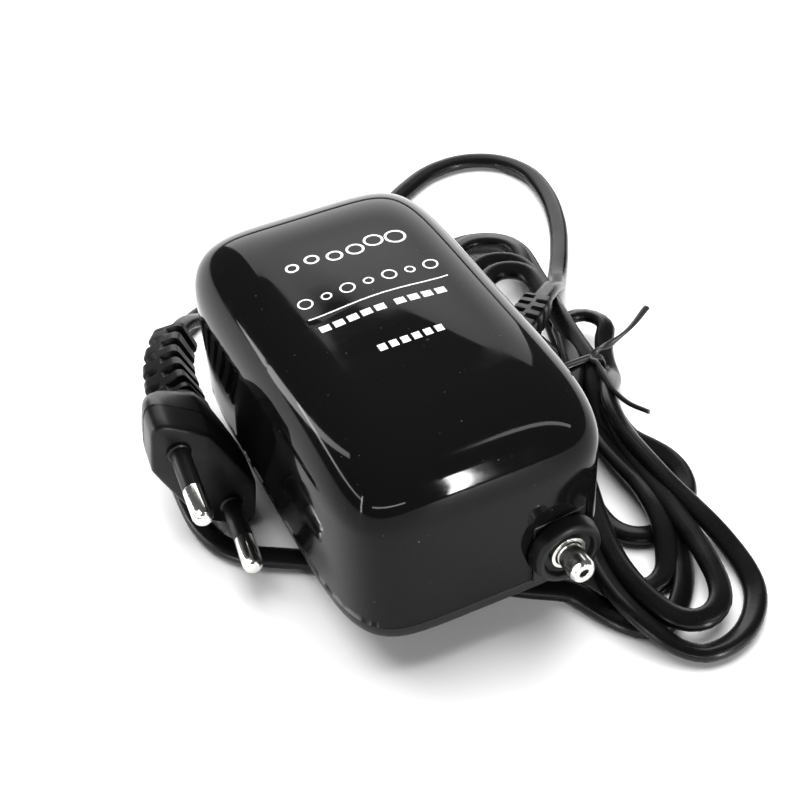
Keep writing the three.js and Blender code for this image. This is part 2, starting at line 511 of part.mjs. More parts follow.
const plugSection = [[17.3, -1.3], [17.3, 1.3], [13.4, 3.9], [9.6, 6.3], [8.2, 6.85], [-8.2, 6.85], [-9.6, 6.3],
  [-13.4, 3.9], [-17.3, 1.3], [-17.3, -1.3], [-13.4, -3.9], [-9.6, -6.3], [-8.2, -6.85], [8.2, -6.85],
  [9.6, -6.3], [13.4, -3.9]];
function plugRing(y, wide, thick) {
  return plugSection.map(([a, c]) => new THREE.Vector3(a * wide * PLUG_SIZE, y, c * thick * PLUG_SIZE));
}
put('plug_body', loft([plugRing(0, 0.965, 0.93), plugRing(-0.6, 1, 1), plugRing(-6.8, 1, 1), plugRing(-7.3, 0.975, 0.96),
  plugRing(-9.6, 0.93, 0.95), plugRing(-13, 0.76, 0.92), plugRing(-16.4, 0.5, 0.86), plugRing(-19, 0.34, 0.78),
  plugRing(-20.4, 0.3, 0.72)]), COLOUR.plug, plug);
const neckPath = new THREE.CatmullRomCurve3([PLUG_AT.clone().addScaledVector(PIN_DIR, -20.7),
  new THREE.Vector3(-33.6, 36.0, 17.0), new THREE.Vector3(-32.3, 42.0, 17.1), new THREE.Vector3(-30.2, 47.0, 17.1), NECK_END],
false, 'centripetal');
const neckRings = [];
const NECK_RIBS = 7;
for (let i = 0; i < NECK_RIBS; i++) {
  for (const [part, slim] of [[0, 1], [0.6, 1], [0.64, 0.72], [0.98, 0.72]]) {
    const t = (i + part) / (NECK_RIBS - 0.4);
    if (i < NECK_RIBS - 1 || slim === 1) {
      neckRings.push(bootRing(neckPath.getPointAt(t), neckPath.getTangentAt(t), (4.2 - 1.2 * t) * slim,
        (4.6 - 1.3 * t) * slim, row));
    }
  }
}
put('plug_strain_relief', loft(neckRings), COLOUR.plug);
for (const [name, side] of [['upper', -1], ['lower', 1]]) {
  const pin = new THREE.Group();
  pin.position.set(side * PIN_HALF_SPREAD, GAP, 0);
  pin.rotation.z = side * 0.04;
  plug.add(pin);
  put(`plug_sleeve_${name}`, tubeOf('y', 1.6, 1.95, 0.1, 10, 0, 0, 0, 16), COLOUR.plug, pin);
  const pinProfile = [[0, 0.1], [1.3, 0.1], [1.3, 10.3], [2.0, 10.3], [2.0, 16.8], [1.7, 17.6], [1.0, 18.1],
    [0, 18.2]];
  put(`plug_pin_${name}`, turned('y', pinProfile, 0, 0, 0, 16), COLOUR.nickel, pin);
}

export default group;
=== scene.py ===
import json
import math
import bpy
import bmesh
from mathutils import Matrix, Vector

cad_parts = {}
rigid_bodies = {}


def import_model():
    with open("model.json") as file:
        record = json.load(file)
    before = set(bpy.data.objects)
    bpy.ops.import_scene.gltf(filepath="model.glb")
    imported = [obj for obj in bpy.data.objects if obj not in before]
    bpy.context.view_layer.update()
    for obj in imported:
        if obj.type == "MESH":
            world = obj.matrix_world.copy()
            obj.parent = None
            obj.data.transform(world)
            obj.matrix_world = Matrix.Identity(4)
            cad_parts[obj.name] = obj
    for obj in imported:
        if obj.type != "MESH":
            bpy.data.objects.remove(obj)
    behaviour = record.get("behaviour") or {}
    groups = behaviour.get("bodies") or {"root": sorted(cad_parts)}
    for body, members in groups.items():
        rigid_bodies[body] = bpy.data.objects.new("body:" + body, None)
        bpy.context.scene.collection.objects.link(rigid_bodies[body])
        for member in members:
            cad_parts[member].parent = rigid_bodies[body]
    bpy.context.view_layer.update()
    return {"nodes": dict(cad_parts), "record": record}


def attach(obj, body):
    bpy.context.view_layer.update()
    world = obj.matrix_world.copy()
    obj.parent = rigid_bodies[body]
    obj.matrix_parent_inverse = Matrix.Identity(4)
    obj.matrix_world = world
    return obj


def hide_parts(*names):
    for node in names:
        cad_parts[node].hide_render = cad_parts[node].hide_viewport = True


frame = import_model()
nodes = frame["nodes"]
MM = 0.001

# ---------------------------------------------------------------- sizes shared with the CAD model (mm)
HALF_W, HALF_L, CASE_Y, POWER = 26.25, 43.96, 4.125, 5.76
COVER_Z, SHOULDER_Z, FILLET_H = 12.6, 34.95, 14.2
FILLET_SIDE, FILLET_FRONT, FILLET_BACK, CROWN = 12.6, 16.4, 20.4, 0.89
BASE_Z, RIM_Z, RIM_INSET = 8.9, 11.8, 0.44
NOZZLE_X, NOZZLE_Z, NOZZLE_TIP_Y = 13.25, 19.15, -48.08
NOTCH_X0, NOTCH_X1, NOTCH_TOP = 7.5, 19.4, 25.6
SLOT_Y0, SLOT_Y1, SLOT_TOP = 11.7, 20.3, 19.8
POST_X, POST_Y, FOOT_X, FOOT_Y = 19.8, (-32, 39.5), 14.6, (-24, 32)
PLUG_AT = Vector((-36.45, 8.3, 16.5))
PIN_DIR = Vector((-0.1, -0.9935, -0.02)).normalized()
PIN_ROW = Vector((0.42, -0.025, -0.912))
PLUG_SIZE = 0.98
NECK_END = Vector((-27.9, 50.8, 17.0))
CORD_W, CORD_T = 4.4, 2.84
WALL, EDGE = 2.0, 0.3  # thickness of the moulded shells, and the rounding of their edges

# ---------------------------------------------------------------- camera, at the photograph's angle
AZ, EL, ROLL = math.radians(-23.01), math.radians(41.44), math.radians(-3.73)
TARGET = Vector((2.759, 3.682, 23.418))
CAMERA_DISTANCE, LENS, SENSOR = 281.53, 65.66, 36.0
back = Vector((math.sin(AZ) * math.cos(EL), -math.cos(AZ) * math.cos(EL), math.sin(EL)))
right = Vector((math.cos(AZ), math.sin(AZ), 0))
up = back.cross(right)
cam_x = math.cos(ROLL) * right + math.sin(ROLL) * up
cam_y = -math.sin(ROLL) * right + math.cos(ROLL) * up
cam_data = bpy.data.cameras.new("camera")
cam_data.lens, cam_data.sensor_width = LENS, SENSOR
cam_data.clip_start, cam_data.clip_end = 0.01, 20
camera = bpy.data.objects.new("camera", cam_data)
place = TARGET + back * CAMERA_DISTANCE
camera.matrix_world = Matrix(((cam_x.x, cam_y.x, back.x, place.x * MM),
                              (cam_x.y, cam_y.y, back.y, place.y * MM),
                              (cam_x.z, cam_y.z, back.z, place.z * MM), (0, 0, 0, 1)))
bpy.context.scene.collection.objects.link(camera)
bpy.context.scene.camera = camera


# ---------------------------------------------------------------- materials
def node_tree(name, color, roughness, metallic=0.0, **sockets):
    mat = bpy.data.materials.new(name)
    mat.use_nodes = True
    tree = mat.node_tree
    bsdf = tree.nodes["Principled BSDF"]
    bsdf.inputs["Base Color"].default_value = (*color, 1)
    bsdf.inputs["Roughness"].default_value = roughness
    bsdf.inputs["Metallic"].default_value = metallic
    for key, value in sockets.items():
        bsdf.inputs[key.replace("_", " ")].default_value = value
    return mat, tree, bsdf


def add(tree, kind, **inputs):
    node = tree.nodes.new(kind)
    for key, value in inputs.items():
        node.inputs[key.replace("_", " ")].default_value = value
    return node


def coords(tree, stretch=(1, 1, 1)):
    where = tree.nodes.new("ShaderNodeTexCoord")
    mapping = add(tree, "ShaderNodeMapping", Scale=stretch)
    tree.links.new(where.outputs["Object"], mapping.inputs["Vector"])
    return mapping.outputs["Vector"]


def noise(tree, scale, detail=4.0, rough=0.55, stretch=(1, 1, 1)):
    node = add(tree, "ShaderNodeTexNoise", Scale=scale, Detail=detail, Roughness=rough)
    tree.links.new(coords(tree, stretch), node.inputs["Vector"])
    return node.outputs["Fac"]


def ramp(tree, fac, stops):
    node = tree.nodes.new("ShaderNodeValToRGB")
    tree.links.new(fac, node.inputs["Fac"])
    while len(node.color_ramp.elements) < len(stops):
        node.color_ramp.elements.new(0.5)
    for element, (at, value) in zip(node.color_ramp.elements, stops):
        element.position = at
        element.color = (*value, 1) if isinstance(value, tuple) else (value, value, value, 1)
    return node.outputs["Color"]


def bump(tree, bsdf, height, strength, distance):
    node = add(tree, "ShaderNodeBump", Strength=strength, Distance=distance)
    tree.links.new(height, node.inputs["Height"])
    tree.links.new(node.outputs["Normal"], bsdf.inputs["Normal"])


def moulded(name, color, rough_low, rough_high, grain=900, depth=0.00003, strength=0.35, lighter=1.5,
            **sockets):
    """Moulded plastic or rubber: fine grain, uneven sheen and a faint change of tone."""
    mat, tree, bsdf = node_tree(name, color, rough_low, **sockets)
    tree.links.new(ramp(tree, noise(tree, 160, 3), [(0.3, rough_low), (0.75, rough_high)]),
                   bsdf.inputs["Roughness"])
    pale = tuple(min(1, c * lighter) for c in color)
    tree.links.new(ramp(tree, noise(tree, 60, 5), [(0.35, color), (0.8, pale)]), bsdf.inputs["Base Color"])
    bump(tree, bsdf, noise(tree, grain, 3), strength, depth)
    return mat


def metal(name, color, rough_low, rough_high, stretch=(1, 1, 1), depth=0.00001):
    """Plated or brushed metal with fine drawing lines along one axis."""
    mat, tree, bsdf = node_tree(name, color, rough_low, 1.0)
    fine = noise(tree, 700, 4, stretch=stretch)
    tree.links.new(ramp(tree, fine, [(0.3, rough_low), (0.75, rough_high)]), bsdf.inputs["Roughness"])
    dull = tuple(c * 0.72 for c in color)
    tree.links.new(ramp(tree, noise(tree, 220, 4), [(0.3, dull), (0.6, color)]), bsdf.inputs["Base Color"])
    bump(tree, bsdf, fine, 0.25, depth)
    return mat


def glossy_cover():
    """Polished black ABS: nearly mirror smooth, with a slight ripple, faint smears and settled dust."""
    mat, tree, bsdf = node_tree("polished_black", (0.0042, 0.0042, 0.0046), 0.05)
    bsdf.inputs["Specular IOR Level"].default_value = 0.1
    smear = ramp(tree, noise(tree, 45, 6, 0.6, (1, 2.2, 1)), [(0.42, 0.035), (0.72, 0.13)])
    tree.links.new(smear, bsdf.inputs["Roughness"])
    dust = ramp(tree, noise(tree, 1500, 2, 0.4), [(0.745, 0.0), (0.79, 1.0)])
    spread = ramp(tree, noise(tree, 70, 4), [(0.45, 0.0), (0.7, 1.0)])
    both = tree.nodes.new("ShaderNodeMath")
    both.operation = "MULTIPLY"
    tree.links.new(dust, both.inputs[0])
    tree.links.new(spread, both.inputs[1])
    mix = tree.nodes.new("ShaderNodeMix")
    mix.data_type = "RGBA"
    mix.inputs["A"].default_value = (0.0042, 0.0042, 0.0046, 1)
    mix.inputs["B"].default_value = (0.16, 0.16, 0.16, 1)
    tree.links.new(both.outputs[0], mix.inputs["Factor"])
    tree.links.new(mix.outputs["Result"], bsdf.inputs["Base Color"])
    bump(tree, bsdf, noise(tree, 38, 2, 0.4), 0.10, 0.0006)
    return mat


M = {
    "cover_black": glossy_cover(),
    "base_black": moulded("satin_black", (0.004, 0.004, 0.0045), 0.24, 0.4, 1100, 0.00003, 0.3,
                          Specular_IOR_Level=0.25),
    "rubber_black": moulded("black_rubber", (0.0025, 0.0025, 0.0028), 0.3, 0.48, 1300, 0.00004, 0.35,
                            Specular_IOR_Level=0.22),
    "zinc_steel": metal("zinc_steel", (0.55, 0.56, 0.57), 0.22, 0.42),
    "lamination": metal("lamination_steel", (0.19, 0.2, 0.21), 0.35, 0.6, (1, 1, 9), 0.00004),
    "magnet": moulded("ferrite", (0.06, 0.06, 0.065), 0.5, 0.7, 1500, 0.00005, 0.5),
    "copper_wire": metal("enamelled_copper", (0.6, 0.24, 0.08), 0.22, 0.4, (0.3, 9, 0.3), 0.00006),
    "white_plastic": moulded("nylon", (0.62, 0.6, 0.55), 0.38, 0.55, 900, 0.00003, 0.3, 1.15),
    "grey_plastic": moulded("grey_acetal", (0.16, 0.165, 0.17), 0.35, 0.5),
    "flap_rubber": moulded("silicone", (0.5, 0.33, 0.16), 0.35, 0.5, 900, 0.00003, 0.3, 1.2),
    "felt": moulded("felt", (0.6, 0.57, 0.5), 0.85, 0.98, 420, 0.0003, 0.9, 1.2),
    "cord_black": moulded("cord_sheath", (0.0025, 0.0025, 0.0028), 0.24, 0.36, 700, 0.00002, 0.25,
                          Specular_IOR_Level=0.24),
    "plug_black": moulded("plug_plastic", (0.003, 0.003, 0.0033), 0.32, 0.44, 1500, 0.000035, 0.3,
                          Specular_IOR_Level=0.25),
    "nickel": metal("bright_nickel", (0.83, 0.82, 0.79), 0.12, 0.26, (1, 0.15, 1)),
    "lead_brown": moulded("brown_insulation", (0.16, 0.06, 0.02), 0.35, 0.5),
    "lead_blue": moulded("blue_insulation", (0.02, 0.09, 0.3), 0.35, 0.5),
    "tie_black": moulded("tie_film", (0.010, 0.010, 0.011), 0.3, 0.45, 500, 0.00004, 0.4),
}
for entry in frame["record"]["subparts"]:
    mesh = nodes[entry["node"]].data
    mesh.materials.clear()
    mesh.materials.append(M[entry["material_slot"]])


# ---------------------------------------------------------------- making pieces
def piece(name, points, faces, slot, replaced=(), body="housing", matrix=None):
    """A mesh from points in mm, riding on a body and standing in for the CAD nodes it replaces."""
    mesh = bpy.data.meshes.new(name)
    place = matrix or Matrix.Identity(4)
    mesh.from_pydata([(place @ Vector(p)) * MM for p in points], [], faces)
    mesh.validate()
    mesh.update()
    tidy = bmesh.new()
    tidy.from_mesh(mesh)
    bmesh.ops.recalc_face_normals(tidy, faces=tidy.faces)
    tidy.to_mesh(mesh)
    tidy.free()
    for polygon in mesh.polygons:
        polygon.use_smooth = True
    mesh.materials.append(M[slot])
    obj = bpy.data.objects.new(name, mesh)
    bpy.context.scene.collection.objects.link(obj)
    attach(obj, body)
    if replaced:
        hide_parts(*replaced)
    return obj


def sharpen(obj, degrees=35):
    """Keeps hard edges hard while the rest is shaded smooth."""
    mesh = obj.data
    bm = bmesh.new()
    bm.from_mesh(mesh)
    for edge in bm.edges:
        if len(edge.link_faces) == 2 and edge.calc_face_angle(0) > math.radians(degrees):
            edge.smooth = False
    bm.to_mesh(mesh)
    bm.free()
    return obj


def thicken(obj):
    """Gives a moulded skin its wall, inwards, and rounds the wall's edges."""
    wall = obj.modifiers.new("wall", "SOLIDIFY")
    wall.thickness, wall.offset = WALL * MM, -1
    edge = obj.modifiers.new("edge", "BEVEL")
    edge.width, edge.segments, edge.limit_method, edge.angle_limit = EDGE * MM, 2, "ANGLE", math.radians(50)


def grid(rings):
    """The points and quads that join equal rings of points in a row, and a face at each end."""
    n = len(rings[0])
    points = [p for ring in rings for p in ring]
    faces = []
    for r in range(len(rings) - 1):
        for i in range(n):
            j = (i + 1) % n
            faces.append((r * n + i, r * n + j, (r + 1) * n + j, (r + 1) * n + i))
    faces.append(tuple(range(n - 1, -1, -1)))
    faces.append(tuple(range((len(rings) - 1) * n, len(rings) * n)))
    return points, faces


BOX_FACES = [(0, 1, 3, 2), (4, 6, 7, 5), (0, 4, 5, 1), (2, 3, 7, 6), (0, 2, 6, 4), (1, 5, 7, 3)]
AXES = {"x": lambda r, h, a: (h, r * math.cos(a), r * math.sin(a)),
        "y": lambda r, h, a: (r * math.sin(a), h, r * math.cos(a)),
        "z": lambda r, h, a: (r * math.cos(a), r * math.sin(a), h)}


def rounded(profile, radius, steps=3):
    """Rounds the corners of a [radius, height] profile."""
    out = [profile[0]]
    for a, b, c in zip(profile, profile[1:], profile[2:]):
        pa, pb, pc = Vector(a), Vector(b), Vector(c)
        reach = min(radius, (pa - pb).length * 0.45, (pc - pb).length * 0.45)
        start = pb + (pa - pb).normalized() * reach
        end = pb + (pc - pb).normalized() * reach
        for s in range(steps + 1):
            t = s / steps
            q = start * (1 - t) ** 2 + pb * (2 * t * (1 - t)) + end * t * t
            out.append((q.x, q.y))
    out.append(profile[-1])
    return out


def turned(name, axis, profile, at, slot, replaced=(), body="housing", sides=64, soft=0.15, matrix=None):
    """A turned solid whose profile starts and ends on the axis, or closes on itself."""
    profile = rounded(profile, soft)
    points, faces = [], []
    for r, h in profile:
        for i in range(sides):
            p = AXES[axis](max(r, 0), h, 2 * math.pi * i / sides)
            points.append(tuple(Vector(p) + Vector(at)))
    rows = len(profile)
    for r in range(rows - 1):
        for i in range(sides):
            j = (i + 1) % sides
            faces.append((r * sides + i, r * sides + j, (r + 1) * sides + j, (r + 1) * sides + i))
    obj = piece(name, points, faces, slot, replaced, body, matrix)
    bm = bmesh.new()
    bm.from_mesh(obj.data)
    bmesh.ops.remove_doubles(bm, verts=bm.verts, dist=1e-7)
    bmesh.ops.recalc_face_normals(bm, faces=bm.faces)
    bm.to_mesh(obj.data)
    bm.free()
    return sharpen(obj, 50)


def catmull(points, step):
    """Centripetal Catmull-Rom through the points (any number of values each), sampled about every step mm."""
    ends = [[2 * a - b for a, b in zip(points[0], points[1])],
            [2 * a - b for a, b in zip(points[-1], points[-2])]]
    chain = [ends[0], *points, ends[1]]
    out = []
    for k in range(1, len(chain) - 2):
        p0, p1, p2, p3 = chain[k - 1:k + 3]
        knots = [0.0]
        for a, b in ((p0, p1), (p1, p2), (p2, p3)):
            knots.append(knots[-1] + max(1e-4, math.dist(a[:3], b[:3])) ** 0.5)
        t0, t1, t2, t3 = knots
        count = max(2, round(math.dist(p1[:3], p2[:3]) / step))
        for s in range(count):
            t = t1 + (t2 - t1) * s / count
            value = []
            for a, b, c, d in zip(p0, p1, p2, p3):
                a1 = a + (b - a) * (t - t0) / (t1 - t0)
                a2 = b + (c - b) * (t - t1) / (t2 - t1)
                a3 = c + (d - c) * (t - t2) / (t3 - t2)
                b1 = a1 + (a2 - a1) * (t - t0) / (t2 - t0)
                b2 = a2 + (a3 - a2) * (t - t1) / (t3 - t1)
                value.append(b1 + (b2 - b1) * (t - t1) / (t2 - t1))
            out.append(value)
    out.append(list(points[-1]))
    return out


def sweep(path, section, rolls=None):
    """Rings of a section carried along a path, its width kept level except for the roll in radians."""
    rings = []
    for k, p in enumerate(path):
        a, b = path[max(k - 1, 0)], path[min(k + 1, len(path) - 1)]
        t = (Vector(b) - Vector(a)).normalized()
        side = t.cross(Vector((0, 0, 1))).normalized()
        rise = side.cross(t)
        roll = rolls[k] if rolls else 0.0
        u = math.cos(roll) * side + math.sin(roll) * rise
        v = -math.sin(roll) * side + math.cos(roll) * rise
        rings.append([tuple(Vector(p) + u * s + v * w) for s, w in section])
    return rings


# ---------------------------------------------------------------- mains cord (mm)
LOOP = [(47.0, 27.6, 13.9), (50.6, 31.0, 12.6), (54.6, 35.2, 10.4), (58.8, 40.2, 6.0), (63.0, 46.8, 2.4),
        (68.6, 55.4, 2.0), (74.6, 66.6, 2.0), (78.8, 79.4, 2.0), (79.4, 90.2, 2.0), (75.4, 98.8, 2.0),
        (67.6, 103.4, 2.0), (58.0, 103.2, 2.0), (49.2, 99.2, 2.0), (40.4, 93.2, 2.0), (32.0, 86.4, 2.0),
        (26.4, 79.2, 2.0), (25.6, 72.4, 2.1), (29.2, 67.6, 2.6), (34.6, 66.0, 3.4), (40.0, 66.6, 4.2)]
TAIL = [(17.4, -38.2, 2.0), (10.4, -33.0, 2.0), (0, -25.2, 2.0), (-11, -16.6, 2.0), (-20.4, -9.4, 2.0),
        (-27.4, -4.6, 2.0), (-33.0, -0.8, 2.0), (-36.8, 4.2, 2.0), (-38.5, 11.0, 2.0), (-38.6, 18.0, 2.0),
        (-38.0, 27.0, 2.0), (-36.6, 37.0, 2.0), (-34.6, 46.6, 2.0), (-31.6, 55.6, 2.0), (-27.8, 63.3, 2.0),
        (-23.4, 69.8, 2.0), (-17.6, 74.4, 2.0), (-9.6, 77.4, 2.0), (-1.4, 77.8, 2.0), (5.0, 74.0, 2.0),
        (6.0, 67.6, 2.2), (1.0, 62.8, 3.0), (-6.4, 61.0, 5.4), (-13.4, 60.6, 9.4), (-19.6, 58.6, 13.6),
        (-23.6, 56.0, 16.2), (-26.0, 53.7, 16.9), (-27.5, 51.45, 17.0), (-28.6, 49.6, 17.0)]
TIE = Vector((47.8, 11.5, 0))


def turn(start, centre, radius, end, z, bulge_in, bulge_out):
    """One fold of the hank behind the tie: up one side, round the tip, and back down the other side."""
    c = Vector((*centre, 0))
    d = (c - TIE).normalized()
    q = Vector((-d.y, d.x, 0))
    arc = []
    for degrees in (80, 45, 0, -45, -80):
        a = math.radians(degrees)
        arc.append(c + radius * (math.cos(a) * d + math.sin(a) * q))
    points = []
    a, b = Vector(start), arc[0]
    for s in (0.25, 0.5, 0.75):
        p = a.lerp(Vector((b.x, b.y, z)), s) + q * bulge_in * math.sin(math.pi * s)
        points.append(tuple(p))
    points += [(p.x, p.y, z) for p in arc]
    a, b = arc[-1], Vector(end)
    for s in (0.25, 0.5, 0.75):
        p = Vector((a.x, a.y, z)).lerp(b, s) - q * bulge_out * math.sin(math.pi * s)
        points.append(tuple(p))
    return points


# where each fold crosses the tie, going forwards and coming back
DOWN = [(51.0, 11.5, 1.6), (47.6, 11.5, 1.6), (51.2, 11.5, 4.5), (55.6, 10.6, 3.0), (50.6, 11.5, 7.3)]
UP = [(44.4, 11.5, 1.6), (47.8, 11.5, 4.5), (46.8, 11.5, 7.3), (44.4, 11.5, 4.5)]
# the folds in front of the tie, laid one by one: a short wide one, an inner one, a middle one that rests on it,
# the long outer one on top, and the last, which runs out under the others to the plug
FRONT = [
    [(50.0, 4.0, 2.6), (48.6, -3.0, 3.0), (48.6, -8.4, 2.8), (50.6, -11.8, 2.3), (52.4, -15.4, 1.8),
     (52.7, -19.8, 1.7),
     (51.3, -24.4, 1.6), (48.0, -28.4, 1.6), (43.5, -31.0, 1.6), (38.6, -32.3, 1.6), (34.8, -30.6, 1.6),
     (32.6, -27.2, 1.6), (32.2, -22.0, 1.7), (33.6, -14.0, 1.8), (36.8, -5.0, 1.8), (40.8, 4.0, 1.7)],
    [(45.4, 5.0, 2.8), (43.2, -2.0, 4.0), (41.7, -9.0, 4.8), (41.5, -15.4, 5.0), (41.7, -21.8, 5.0),
     (41.0, -28.2, 4.9),
     (39.6, -34.0, 4.3), (37.4, -38.6, 3.2), (34.8, -42.2, 2.2), (31.2, -43.6, 1.8), (27.9, -42.2, 1.7),
     (26.4, -38.2, 1.7), (26.8, -32.4, 1.8), (28.6, -23.0, 2.8), (31.8, -13.0, 4.3), (35.4, -4.0, 4.6),
     (41.0, 5.0, 4.6)],
    [(49.0, 5.0, 5.2), (46.8, -3.0, 5.8), (45.2, -10.0, 5.9), (44.4, -18.0, 5.7), (43.9, -26.0, 5.4),
     (43.5, -33.3, 5.0), (43.1, -39.8, 4.6), (42.2, -45.5, 4.5), (40.9, -50.3, 4.4), (38.7, -54.0, 4.4),
     (35.6, -55.9, 4.4), (32.6, -55.9, 4.4), (30.0, -54.2, 4.4), (28.4, -50.8, 4.4), (27.4, -46.4, 4.5),
     (27.0, -41.2, 4.6), (27.4, -35.6, 4.7), (28.8, -29.0, 5.0), (31.4, -20.0, 5.8), (34.4, -11.0, 6.7),
     (38.0, -2.0, 7.1), (42.2, 5.0, 7.3)],
    [(53.6, 7.4, 4.8), (50.4, 3.6, 7.2), (47.6, -1.0, 8.2), (46.1, -6.0, 8.2), (45.6, -11.0, 7.6),
     (45.9, -18.9, 6.8),
     (46.5, -25.7, 5.9), (47.5, -31.6, 5.0), (48.6, -37.5, 3.8), (49.1, -43.0, 2.6), (48.8, -48.3, 1.9),
     (47.4, -52.9, 1.6), (44.3, -57.1, 1.6), (40.0, -60.2, 1.6), (35.1, -61.6, 1.6), (30.7, -61.1, 1.8),
     (27.2, -58.5, 2.6), (24.9, -54.5, 3.8), (23.3, -49.6, 4.6), (22.8, -44.2, 4.7), (23.2, -38.5, 4.7),
     (24.6, -32.0, 4.6), (26.6, -25.0, 4.4), (28.6, -17.0, 3.9), (31.0, -9.0, 3.7), (35.0, -1.0, 3.9),
     (39.6, 6.0, 4.3)],
    [(47.8, 4.5, 6.4), (45.6, -3.0, 4.4), (44.2, -11.0, 3.2), (43.3, -19.0, 3.0), (42.9, -26.0, 3.5),
     (42.4, -31.5, 3.7), (41.4, -36.6, 2.7), (39.4, -41.2, 1.9), (36.8, -45.4, 1.6), (33.6, -49.0, 1.6),
     (30.2, -51.6, 1.6), (26.8, -52.2, 1.6), (23.6, -50.4, 1.6), (21.2, -46.8, 1.6), (19.4, -42.6, 1.8)],
]
REAR = [((50.8, 60.8), 10.0, 2.2, 0.0, 1.2), ((50.4, 58.2), 8.6, 4.6, 1.0, 0.6),
        ((49.8, 50.4), 6.6, 5.2, 0.6, 1.0),
        ((56.6, 24.2), 5.0, 5.6, 0.0, -1.0), ((49.4, 45.0), 5.4, 7.0, 0.4, 0.4)]
route = [tuple(p) for p in LOOP]
centre, radius, z, _, bulge = REAR[0]
route += turn(DOWN[0], centre, radius, DOWN[0], z, 0, bulge)[5:]
for k, fold in enumerate(FRONT):
    route += [DOWN[k], *fold]
    if k < len(UP):
        centre, radius, z, bulge_in, bulge_out = REAR[k + 1]
        route += [UP[k], *turn(UP[k], centre, radius, DOWN[k + 1], z, bulge_in, bulge_out)]
route += TAIL
line = catmull(route, 1.6)
travelled = [0.0]
for a, b in zip(line, line[1:]):
    travelled.append(travelled[-1] + math.dist(a, b))
cord_length = travelled[-1]
rolls = []
for s in travelled:
    ease = min(1.0, s / 40, (cord_length - s) / 60)
    rolls.append(ease * (0.42 * math.sin(s / 61.0) + 0.3 * math.sin(s / 23.7 + 1.3)))
for p, roll in zip(line, rolls):
    p[2] = max(p[2], CORD_T / 2 + (CORD_W - CORD_T) / 2 * abs(math.sin(roll)) + 0.05)
section = []
for i in range(32):
    c, s = math.cos(math.pi * i / 16), math.sin(math.pi * i / 16)
    across = CORD_W / 2 * math.copysign(abs(c) ** 0.86, c)
    waist = 1 - 0.055 * math.exp(-(across / 0.55) ** 2)
    section.append((across, CORD_T / 2 * math.copysign(abs(s) ** 0.86, s) * waist))
points, faces = grid(sweep(line, section, rolls))
cord = piece("mains_cord", points, faces, "cord_black",
             ("mains_cord_loop", "cord_hank_front", "cord_hank_rear", "mains_cord_tail"))

# ---------------------------------------------------------------- top cover
def ease(v):
    return math.copysign(abs(v) ** (2 / POWER), v)


def plan_point(t, side, front, rear, z):
    reach = HALF_L - (rear if math.sin(t) > 0 else front)
    return ((HALF_W - side) * ease(math.cos(t)), CASE_Y + reach * ease(math.sin(t)), z)


def plan_angles(count, extra=()):
    """Angles spaced evenly round the outline, with more of them where it bends, plus exact extra ones."""
    fine = [2 * math.pi * i / 24000 for i in range(24001)]
    pts = [plan_point(t, 0, 0, 0, 0) for t in fine]
    cost = [0.0]
    heading = None
    for a, b in zip(pts, pts[1:]):
        now = math.atan2(b[1] - a[1], b[0] - a[0])
        swing = 0.0 if heading is None else abs((now - heading + math.pi) % (2 * math.pi) - math.pi)
        heading = now
        cost.append(cost[-1] + math.dist(a, b) + 26 * swing)
    picks, k = [], 0
    for i in range(count):
        goal = cost[-1] * i / count
        while cost[k] < goal:
            k += 1
        picks.append(fine[k])
    for t in extra:
        t %= 2 * math.pi
        picks = [q for q in picks if abs(q - t) > 0.004] + [t]
    return sorted(picks)


def front_angle(x):
    return -math.acos((x / HALF_W) ** (POWER / 2))


def side_angle(y):
    return math.asin(((y - CASE_Y) / HALF_L) ** (POWER / 2))


notch_t = [front_angle(NOTCH_X0) % (2 * math.pi), front_angle(NOTCH_X1) % (2 * math.pi)]
slot_t = [side_angle(SLOT_Y0), side_angle(SLOT_Y1)]
angles = plan_angles(230, (*notch_t, *slot_t))
levels = [(COVER_Z, 0, 0, 0)]
for z in (14.4, 17.2, SLOT_TOP, 22.6, NOTCH_TOP, 29.0, 32.2):
    levels.append((z, 0, 0, 0))
for i in range(27):
    a = math.radians(90 * i / 26)
    k = 1 - math.cos(a)
    levels.append((SHOULDER_Z + FILLET_H * math.sin(a), FILLET_SIDE * k, FILLET_FRONT * k, FILLET_BACK * k))
_, side, front, rear = levels[-1]
for s in (0.93, 0.85, 0.74, 0.6, 0.45, 0.3, 0.15, 0.05):
    levels.append((SHOULDER_Z + FILLET_H + CROWN * (1 - s * s) ** 2, HALF_W - (HALF_W - side) * s,
                   HALF_L - (HALF_L - front) * s, HALF_L - (HALF_L - rear) * s))
points = [plan_point(t, side, front, rear, z) for z, side, front, rear in levels for t in angles]
n = len(angles)
faces = []
for r in range(len(levels) - 1):
    for i in range(n):
        j = (i + 1) % n
        middle = angles[i] + ((angles[j] - angles[i]) % (2 * math.pi)) / 2
        low = levels[r][0]
        if low < NOTCH_TOP - 0.01 and min(notch_t) < middle < max(notch_t):
            continue
        if low < SLOT_TOP - 0.01 and min(slot_t) < middle < max(slot_t):
            continue
        faces.append((r * n + i, r * n + j, (r + 1) * n + j, (r + 1) * n + i))
faces.append(tuple(range((len(levels) - 1) * n, len(levels) * n)))
cover = piece("cover_skin", points, faces, "cover_black", ("top_cover",))
thicken(cover)

